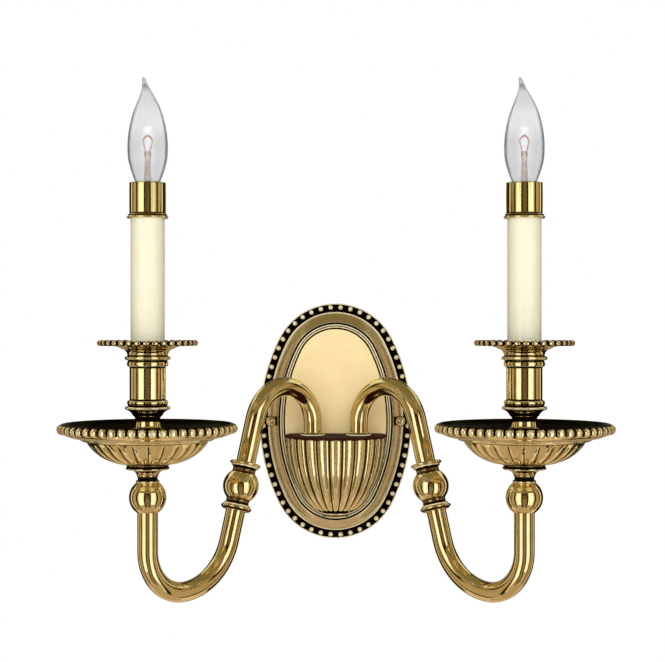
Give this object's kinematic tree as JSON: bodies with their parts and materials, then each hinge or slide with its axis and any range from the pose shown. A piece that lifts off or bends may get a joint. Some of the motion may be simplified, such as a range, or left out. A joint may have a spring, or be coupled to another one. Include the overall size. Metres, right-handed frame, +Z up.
{
  "type": "double arm wall sconce",
  "caption": "Brass wall sconce with a beaded oval plate, a fluted half bowl and curved tube arms that carry electric candles on beaded drip pans.",
  "frame": {"origin": "centre of the mounting strap screw pattern, on the wall behind the centre of the backplate", "axes": "+Z up, +X to the right seen from the room, +Y into the wall"},
  "size_m": [0.426, 0.2356, 0.406],
  "materials": {
    "brass": "polished and burnished, dark in the hollows",
    "dark_brass": "dark brown patina",
    "bright_brass": "bright polished",
    "cream_sleeve": "smooth satin",
    "clear_glass": "clear",
    "mount_glass": "clear pressed glass",
    "filament_wire": "drawn wire",
    "plated_steel": "zinc plated",
    "green_steel": "green passivated",
    "holder_plastic": "moulded phenolic",
    "connector_plastic": "moulded",
    "lead_insulation": "smooth insulation"
  },
  "bodies": {
    "root": {"backplate": "brass", "bowl_shell": "brass", "bowl_cover": "dark_brass", "cap_nuts": "brass", "mounting_strap": "plated_steel", "strap_studs": "plated_steel", "stud_nuts": "plated_steel", "ground_screw": "green_steel", "bowl_screws": "plated_steel", "arm_locknuts": "plated_steel", "wire_connectors": "connector_plastic", "left_arm_ball": "brass", "left_pan_seat": "brass", "left_drip_pan": "brass", "left_candle_cup": "brass", "left_cup_pan": "brass", "left_threaded_stem": "plated_steel", "left_stem_nuts": "plated_steel", "left_holder_bracket": "plated_steel", "left_lamp_holder": "holder_plastic", "left_holder_shell": "bright_brass", "left_holder_contact": "bright_brass", "left_arm_flange": "brass", "left_arm_upper": "brass", "left_arm_lower": "brass", "left_knop_ball": "brass", "left_knop_collar_top": "brass", "left_knop_collar_bottom": "brass", "left_lamp_lead": "lead_insulation", "right_arm_ball": "brass", "right_pan_seat": "brass", "right_drip_pan": "brass", "right_candle_cup": "brass", "right_cup_pan": "brass", "right_threaded_stem": "plated_steel", "right_stem_nuts": "plated_steel", "right_holder_bracket": "plated_steel", "right_lamp_holder": "holder_plastic", "right_holder_shell": "bright_brass", "right_holder_contact": "bright_brass", "right_arm_flange": "brass", "right_arm_upper": "brass", "right_arm_lower": "brass", "right_knop_ball": "brass", "right_knop_collar_top": "brass", "right_knop_collar_bottom": "brass", "right_lamp_lead": "lead_insulation"},
    "left_lamp_screw": {"left_lamp_base": "bright_brass"},
    "left_lamp": {"left_lamp_glass": "clear_glass", "left_lamp_stem": "mount_glass", "left_lamp_filament": "filament_wire"},
    "left_candle": {"left_candle_sleeve": "cream_sleeve", "left_sleeve_cap": "bright_brass"},
    "right_lamp_screw": {"right_lamp_base": "bright_brass"},
    "right_lamp": {"right_lamp_glass": "clear_glass", "right_lamp_stem": "mount_glass", "right_lamp_filament": "filament_wire"},
    "right_candle": {"right_candle_sleeve": "cream_sleeve", "right_sleeve_cap": "bright_brass"}
  },
  "joints": [
    {"name": "left_lamp_rise", "type": "slide", "parent": "root", "child": "left_lamp_screw", "axis": [0, 0, 1], "range_m": [0, 0.01017]},
    {"name": "left_lamp_turn", "type": "hinge", "parent": "left_lamp_screw", "child": "left_lamp", "pos_m": [-0.14413, -0.16673, 0.18], "axis": [0, 0, 1], "range_deg": [0, 1440]},
    {"name": "left_candle_turn", "type": "hinge", "parent": "root", "child": "left_candle", "pos_m": [-0.14413, -0.16673, 0.18], "axis": [0, 0, 1], "continuous": true},
    {"name": "right_lamp_rise", "type": "slide", "parent": "root", "child": "right_lamp_screw", "axis": [0, 0, 1], "range_m": [0, 0.01017]},
    {"name": "right_lamp_turn", "type": "hinge", "parent": "right_lamp_screw", "child": "right_lamp", "pos_m": [0.14413, -0.16673, 0.18], "axis": [0, 0, 1], "range_deg": [0, 1440]},
    {"name": "right_candle_turn", "type": "hinge", "parent": "root", "child": "right_candle", "pos_m": [0.14413, -0.16673, 0.18], "axis": [0, 0, 1], "continuous": true}
  ],
  "couplings": [
    {"joint": "left_lamp_rise", "follows": "left_lamp_turn", "m_per_rad": 0.00040425},
    {"joint": "right_lamp_rise", "follows": "right_lamp_turn", "m_per_rad": 0.00040425}
  ]
}
